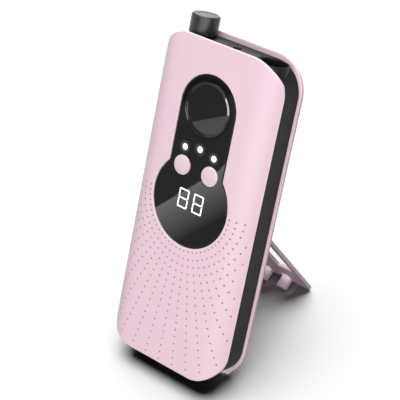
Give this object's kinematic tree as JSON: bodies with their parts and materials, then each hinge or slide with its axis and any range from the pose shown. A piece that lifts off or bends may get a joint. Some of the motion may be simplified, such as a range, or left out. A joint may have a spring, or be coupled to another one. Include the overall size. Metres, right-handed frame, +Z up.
{
  "type": "nail drill power unit",
  "caption": "Portable rechargeable nail drill power unit: slim arched housing with speed knob, handpiece jack and holder, digit display and a fold-out kickstand.",
  "frame": {"origin": "centre of the base of the bounding box, on the surface that the unit stands on", "axes": "+Z up; the panel looks towards -Y and leans back; +X to the right of a person who faces the panel"},
  "size_m": [0.0628, 0.0822, 0.1368],
  "materials": {
    "pink_plastic": "satin pale pink moulded plastic",
    "stand_plastic": "matt dusty pink moulded plastic",
    "black_plastic": "satin black moulded plastic",
    "gloss_black": "polished smoked black plastic",
    "led_white": "clear light pipe lit from behind",
    "circuit_board": "green solder mask",
    "steel": "plain bright steel",
    "battery_foil": "pouch cell foil",
    "lead_cover": "red insulated wire"
  },
  "bodies": {
    "casing": {"front_shell": "pink_plastic", "mid_frame": "black_plastic", "back_cover": "pink_plastic", "cover_screw_1": "steel", "cover_screw_2": "steel", "cover_screw_3": "steel", "cover_screw_4": "steel", "display_panel": "gloss_black", "round_lens": "gloss_black", "led_left": "led_white", "led_middle": "led_white", "led_right": "led_white", "digit_display": "gloss_black", "button_switch_left": "black_plastic", "button_switch_right": "black_plastic", "control_board": "circuit_board", "charge_board": "circuit_board", "usb_c_port": "steel", "battery": "battery_foil", "battery_lead": "lead_cover", "charge_lead": "lead_cover", "speed_pot": "black_plastic", "pot_nut": "steel", "handpiece_jack": "black_plastic", "holder_sleeve": "black_plastic", "stand_hinge_pin": "steel"},
    "speed_knob": {"speed_knob": "black_plastic", "pot_shaft": "steel"},
    "button_left": {"button_left": "pink_plastic"},
    "button_right": {"button_right": "pink_plastic"},
    "kickstand": {"kickstand": "stand_plastic"}
  },
  "joints": [
    {"name": "speed_knob_turn", "type": "hinge", "parent": "casing", "child": "speed_knob", "pos_m": [-0.0173, 0.03238, 0.12717], "axis": [0, -0.4654, -0.8851], "range_deg": [0, 280]},
    {"name": "button_left_press", "type": "slide", "parent": "casing", "child": "button_left", "axis": [0, 0.8851, -0.4654], "range_m": [0, 0.0005], "stiffness_N_per_m": 800},
    {"name": "button_right_press", "type": "slide", "parent": "casing", "child": "button_right", "axis": [0, 0.8851, -0.4654], "range_m": [0, 0.0005], "stiffness_N_per_m": 800},
    {"name": "kickstand_fold", "type": "hinge", "parent": "casing", "child": "kickstand", "pos_m": [0, 0.00673, 0.0601], "axis": [-1, 0, 0], "range_deg": [0, 53.2]}
  ]
}
